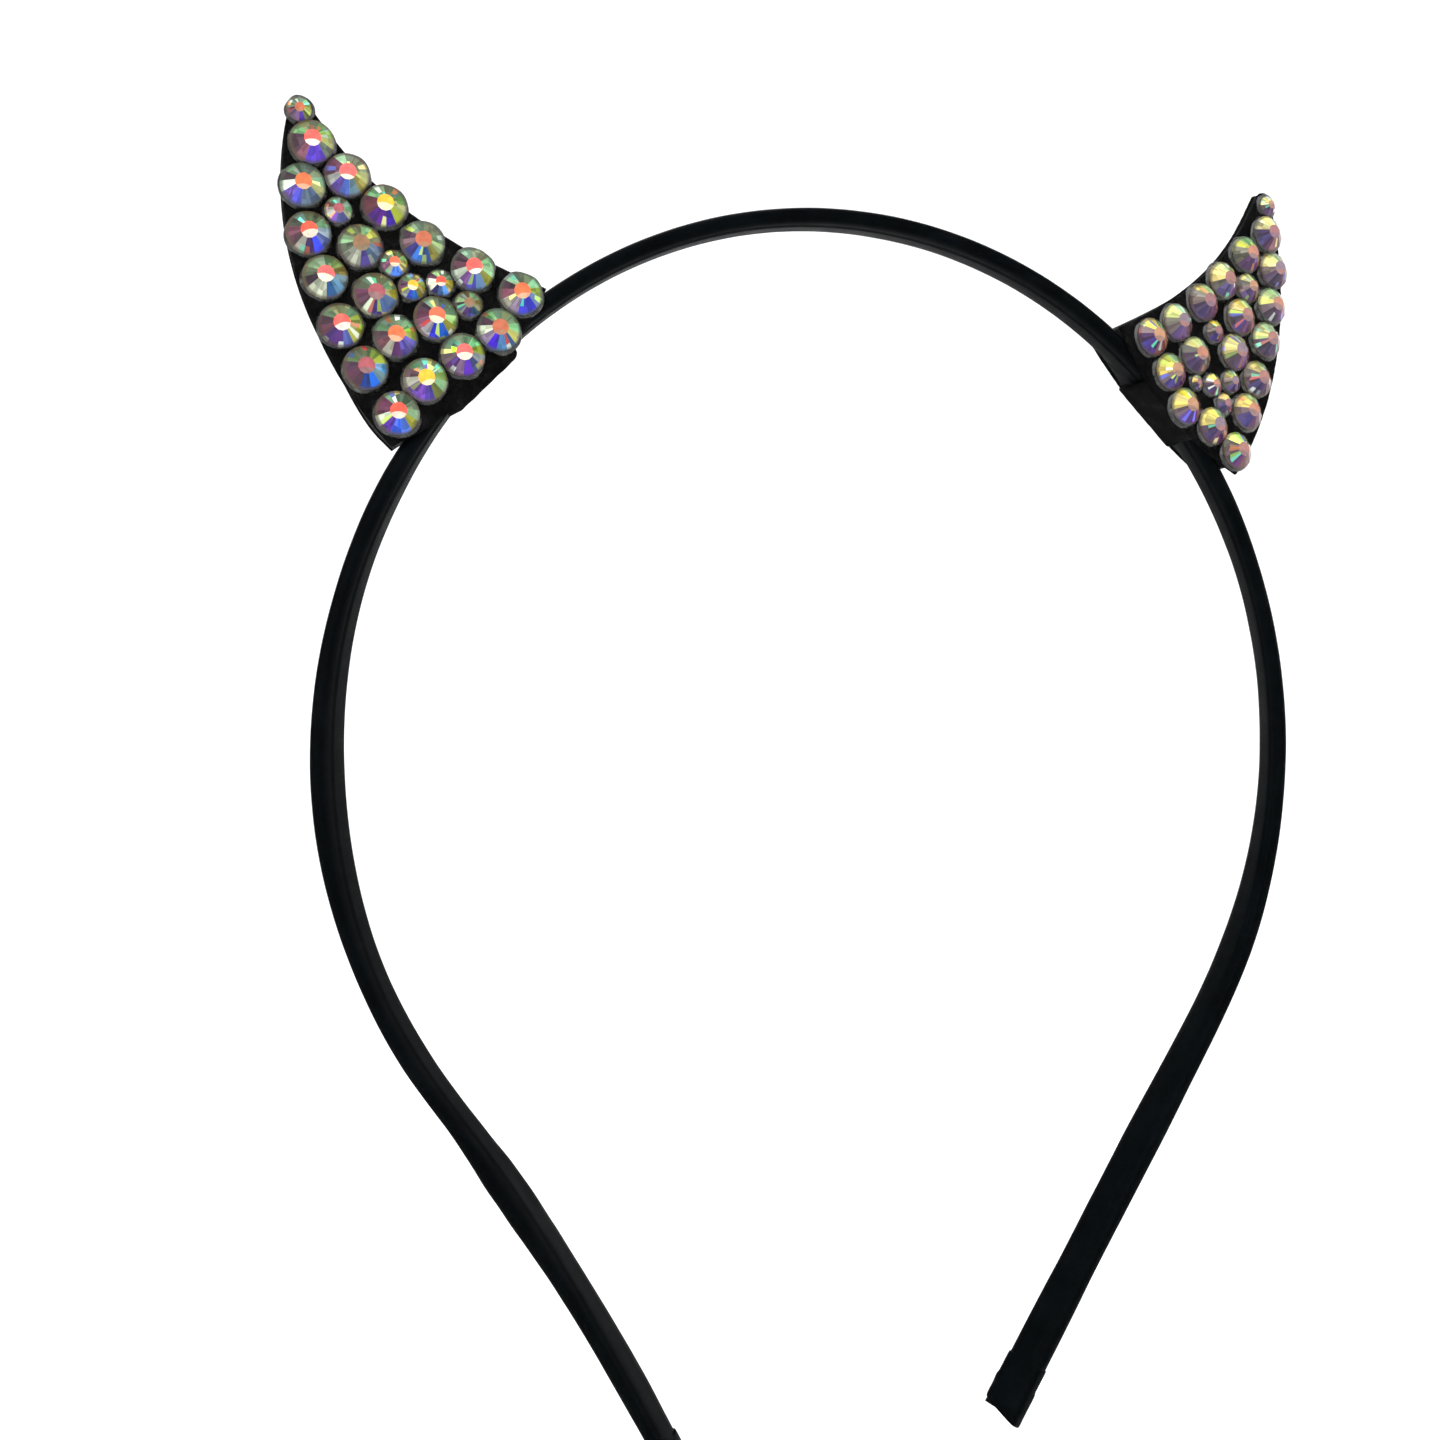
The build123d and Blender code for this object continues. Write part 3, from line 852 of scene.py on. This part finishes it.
def make_ear(side, name, felt, foam):
    """Front felt with its tongue, foam and back felt of one ear; returns the ear's frame."""
    ear = ear_frame(side)
    # The front felt has its whole foot, and the layers behind it stop near the band
    unlimited = -9
    lowest = EAR_RISES[side] - BACK_REACH
    foam_front, foam_back = flat_depth(FELT), stepped_depth(FELT + FOAM, FOOT_DEPTH)
    felt_back = stepped_depth(FELT + FOAM + FELT, FOOT_DEPTH + FELT)
    face = ear_slab(ear, FRONT_CORNER, flat_depth(FACE_DEPTH), foam_front, unlimited, 0.0, seed=50 + side)
    front = joined(face, tongue_slab(ear))
    middle = ear_slab(ear, BACK_CORNER, foam_front, foam_back, lowest, FOAM_INSET, seed=60 + side,
                      rough=0.02)
    back = ear_slab(ear, BACK_CORNER, foam_back, felt_back, lowest, BACK_INSET, seed=70 + side)
    pieces = {
        "front_felt": new_object(name + "_front_felt_panel", *front, felt),
        "foam": new_object(name + "_foam_filling", *middle, foam),
        "back_felt": new_object(name + "_back_felt_panel", *back, felt),
    }
    for part, piece in pieces.items():
        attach(piece, "root")
        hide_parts(f"{name}_ear_{part}")
    declare_felt(FRONT_CORNER, TONGUE_DEPTH + BAND_THICKNESS)
    declare_felt(BACK_CORNER, 0.0)
    return ear


# ---------------------------------------------------------------- crystals and glue
# A crystal's box is slightly wider than the crystal, because the crystal leans
DIAMETER_IN_BOX = 0.997


def dress_crystals(name, ear, coating):
    """Gives every crystal of an ear its own coated look, and returns their places and sizes."""
    found = []
    # Each crystal takes one pair of tones for the painted reflection on its table
    table_reflection_pairs = coating[-1]
    for number in range(1, CRYSTALS_PER_EAR + 1):
        node_name = f"{name}_crystal_{number:02d}"
        low, high = (np.array(corner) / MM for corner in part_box(node_name))
        offset = (low + high) / 2 - ear["base"]
        across, up = float(offset @ ear["along"]), float(offset @ ear["tip"])
        diameter = float((high - low)[0]) * DIAMETER_IN_BOX
        seat = ear_point(ear, np.float64(across), np.float64(up), np.float64(0))
        look = crystal_material(node_name, seat, ear, diameter, number * FACET_SPIN % 360,
                                100 * (2 + ear["side"]) + number, coating, table_reflection_pairs[number % len(table_reflection_pairs)])
        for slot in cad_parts[node_name].material_slots:
            slot.material = look
        found.append((across, up, diameter))
    return found


# Section of a glue fillet: how far out from the girdle and how high. Positive distances grow with its spread
GLUE_SECTION = [
    (-0.30, 0.05), (-0.06, 0.30), (0.10, 0.24), (0.45, 0.12), (0.85, 0.04), (1.0, -0.08), (-0.35, -0.08),
]
GLUE_COLUMNS = 40
GLUE_LEAST = 0.16
GLUE_MOST = 0.38


def make_glue(name, ear, crystals, material):
    """Clear glue squeezed out round the crystals: uneven fillets joined in one piece."""
    points, faces = [], []
    angle = np.linspace(0, 2 * math.pi, GLUE_COLUMNS, endpoint=False)
    circle = np.stack([np.cos(angle), np.sin(angle)], 1)
    for index, (across, up, diameter) in enumerate(crystals):
        uneven = noise(circle, scale=1.6, seed=300 + index) * 0.5 + 0.5
        spread = GLUE_LEAST + (GLUE_MOST - GLUE_LEAST) * uneven
        faces += grid_faces(len(GLUE_SECTION), GLUE_COLUMNS, looped=True, start=len(points),
                            flip=ear["side"] > 0)
        for reach, height in GLUE_SECTION:
            radius = diameter / 2 + (spread * reach if reach > 0 else reach)
            lift = height * (0.75 + 0.5 * spread / GLUE_MOST)
            points.extend(ear_point(ear, across + radius * circle[:, 0], up + radius * circle[:, 1], -lift))
    glue = new_object(name + "_glue", points, faces, material)
    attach(glue, "root")


# ---------------------------------------------------------------- camera, floor and light
def make_camera():
    """Camera slightly to the left of the headband, level with its middle."""
    place = (-0.1070, -0.2151, -0.0499)
    yaw, pitch, roll = math.radians(22.96), math.radians(-1.96), math.radians(-0.32)
    ahead = Vector((math.sin(yaw) * math.cos(pitch), math.cos(yaw) * math.cos(pitch), math.sin(pitch)))
    level = Vector((math.cos(yaw), -math.sin(yaw), 0))
    above = level.cross(ahead)
    right = level * math.cos(roll) + above * math.sin(roll)
    up = above * math.cos(roll) - level * math.sin(roll)
    data = bpy.data.cameras.new("camera")
    data.lens = 50.15
    data.sensor_width = 36
    data.clip_start, data.clip_end = 0.01, 10
    camera = bpy.data.objects.new("camera", data)
    bpy.context.scene.collection.objects.link(camera)
    turn = Matrix((right, up, -ahead)).transposed()
    camera.matrix_world = Matrix.Translation(place) @ turn.to_4x4()
    bpy.context.scene.camera = camera


def make_floor():
    """Seamless pale sweep: a round floor that curves up into a wall on every side."""
    material, shader, node, _, _ = new_material("pale_sweep")
    place = node("TexCoord").outputs["Object"]
    grain = node("TexNoise", i0=place, Scale=60.0, Detail=3.0).outputs[0]
    tint = ramp(node, grain, linear_stops((0.3, 0.94, 0.94, 0.94), (0.7, 0.97, 0.97, 0.97)))
    material.node_tree.links.new(tint, shader.inputs["Base Color"])
    shader.inputs["Roughness"].default_value = 0.9
    level = cad_box[0][2] - 0.0008
    floor_radius, curve_radius, wall_top = 0.8, 0.6, 3.0
    profile = [(0.0, level), (floor_radius, level)]
    for angle in np.linspace(0.1, math.pi / 2, 14):
        profile.append((floor_radius + curve_radius * math.sin(angle),
                        level + curve_radius * (1 - math.cos(angle))))
    profile.append((floor_radius + curve_radius, wall_top))
    columns = 96
    points = [(radius * math.cos(angle), radius * math.sin(angle), height) for radius, height in profile
              for angle in np.linspace(0, 2 * math.pi, columns, endpoint=False)]
    sweep = new_object("pale_sweep", np.array(points) / MM, grid_faces(len(profile), columns), material)


def make_lights():
    """Bright even studio: white surroundings, a large top light and softer fills."""
    world = bpy.data.worlds.new("studio")
    bpy.context.scene.world = world
    world.use_nodes = True
    background = world.node_tree.nodes["Background"]
    background.inputs["Color"].default_value = (1, 1, 1, 1)
    background.inputs["Strength"].default_value = 1.08
    middle = Vector((0, 0, -0.05))
    # Name, place in metres, size in metres and power in watts
    lights = [("top", (-0.25, -0.35, 0.75), 0.9, 9.0), ("left", (-0.8, -0.5, 0.25), 0.6, 4.0),
              ("right", (0.8, -0.35, 0.15), 0.5, 3.0)]
    for name, place, size, power in lights:
        data = bpy.data.lights.new(name, "AREA")
        data.size = size
        data.energy = power
        light = bpy.data.objects.new(name, data)
        light.location = place
        light.rotation_euler = (middle - Vector(place)).to_track_quat("-Z", "Y").to_euler()
        bpy.context.scene.collection.objects.link(light)


# ---------------------------------------------------------------- assembly
make_camera()
make_floor()
make_lights()
bpy.context.scene.view_settings.view_transform = "Standard"

satin = satin_material()
felt = felt_material()
foam = foam_material()
glue = glue_material()
steel = steel_material()

make_band(satin)
for name, side in SIDES:
    make_tip_fold(name, side, satin)

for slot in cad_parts["spring_strip"].material_slots:
    slot.material = steel

for name, side in SIDES:
    ear = make_ear(side, name, felt, foam)
    crystals = dress_crystals(name, ear, COATINGS[side])
    make_glue(name, ear, crystals, glue)
